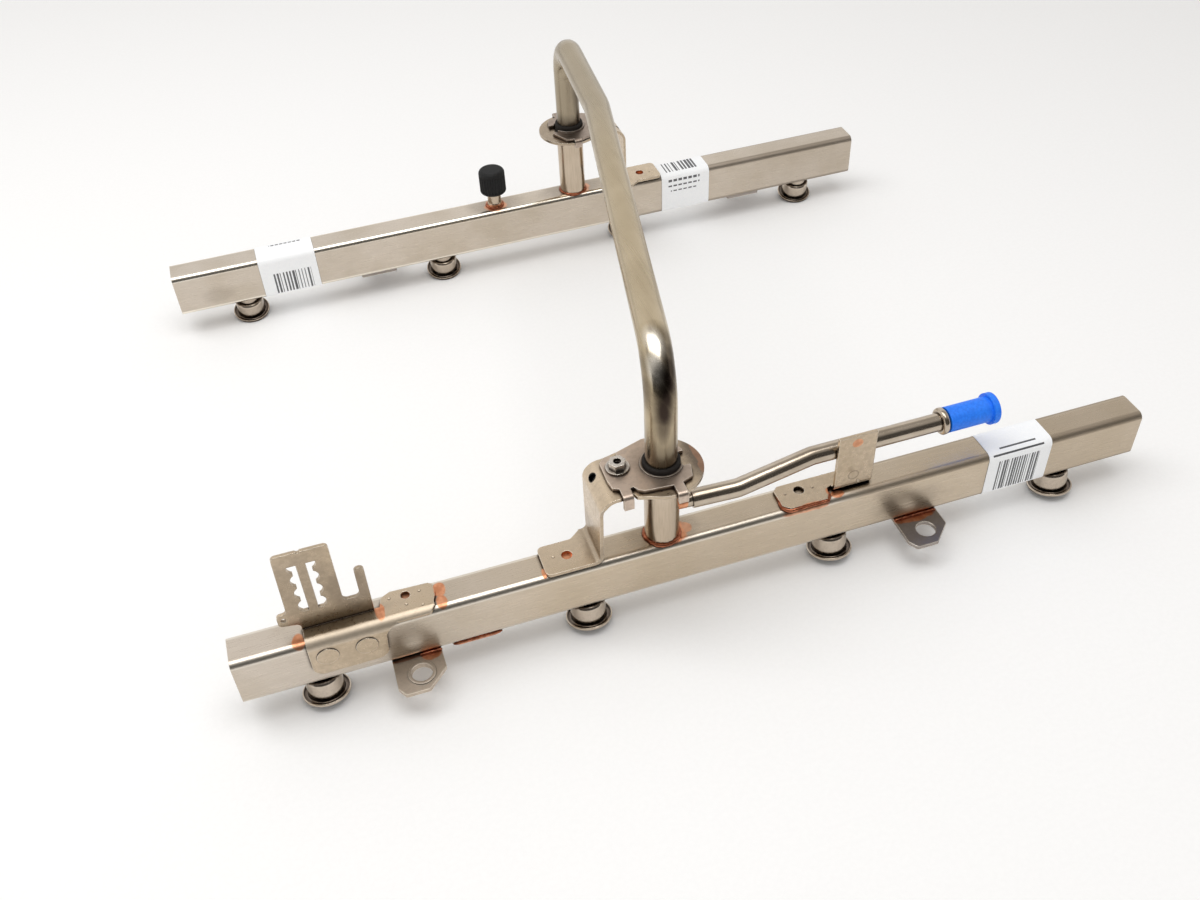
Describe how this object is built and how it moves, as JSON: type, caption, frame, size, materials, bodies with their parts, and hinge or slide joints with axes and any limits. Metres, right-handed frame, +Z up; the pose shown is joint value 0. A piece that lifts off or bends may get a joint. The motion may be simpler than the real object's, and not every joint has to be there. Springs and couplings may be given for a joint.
{
  "type": "fuel rail",
  "caption": "V8 fuel rail: rectangular steel rails with injector cups, bolt ears and a clip bracket, joined by a crossover pipe, with capped inlet and service port.",
  "frame": {"origin": "centre of the assembly in plan, at the height of the lowest point of the injector cup rims", "axes": "+X along the rails towards the inlet pipe's open end, +Y from the rail with the inlet to the rail with the service port, +Z up, injector cups down"},
  "size_m": [0.4068, 0.3224, 0.1326],
  "materials": {
    "rail_steel": "satin",
    "cup_steel": "satin",
    "bracket_steel": "satin",
    "pipe_steel": "satin",
    "ear_steel": "satin",
    "retainer_steel": "satin",
    "screw_steel": "satin",
    "seal_rubber": "matte",
    "black_cap": "matte",
    "blue_cap": "satin",
    "valve_brass": "satin",
    "port_steel": "satin",
    "label_paper": "satin"
  },
  "bodies": {
    "root": {"clip_bracket": "bracket_steel", "crossover_pipe": "pipe_steel", "far_collared_ear": "ear_steel", "far_injector_cup_1": "cup_steel", "far_injector_cup_2": "cup_steel", "far_injector_cup_3": "cup_steel", "far_injector_cup_4": "cup_steel", "far_pipe_seal": "seal_rubber", "far_plain_ear": "ear_steel", "far_rail_end_cap_1": "rail_steel", "far_rail_end_cap_2": "rail_steel", "far_rail_label_1": "label_paper", "far_rail_label_2": "label_paper", "far_rail_tube": "rail_steel", "far_retainer_plate": "retainer_steel", "far_socket": "bracket_steel", "far_tower_bracket": "bracket_steel", "inlet_bracket": "bracket_steel", "inlet_dust_cap": "blue_cap", "inlet_pipe": "pipe_steel", "near_collared_ear": "ear_steel", "near_injector_cup_1": "cup_steel", "near_injector_cup_2": "cup_steel", "near_injector_cup_3": "cup_steel", "near_injector_cup_4": "cup_steel", "near_pipe_seal": "seal_rubber", "near_plain_ear": "ear_steel", "near_rail_end_cap_1": "rail_steel", "near_rail_end_cap_2": "rail_steel", "near_rail_label": "label_paper", "near_rail_pad": "rail_steel", "near_rail_tube": "rail_steel", "near_retainer_plate": "retainer_steel", "near_socket": "bracket_steel", "near_tower_bracket": "bracket_steel", "retainer_screws": "screw_steel", "retainer_washers": "screw_steel", "service_port_body": "port_steel", "service_port_cap": "black_cap", "service_port_core": "valve_brass"}
  },
  "joints": []
}
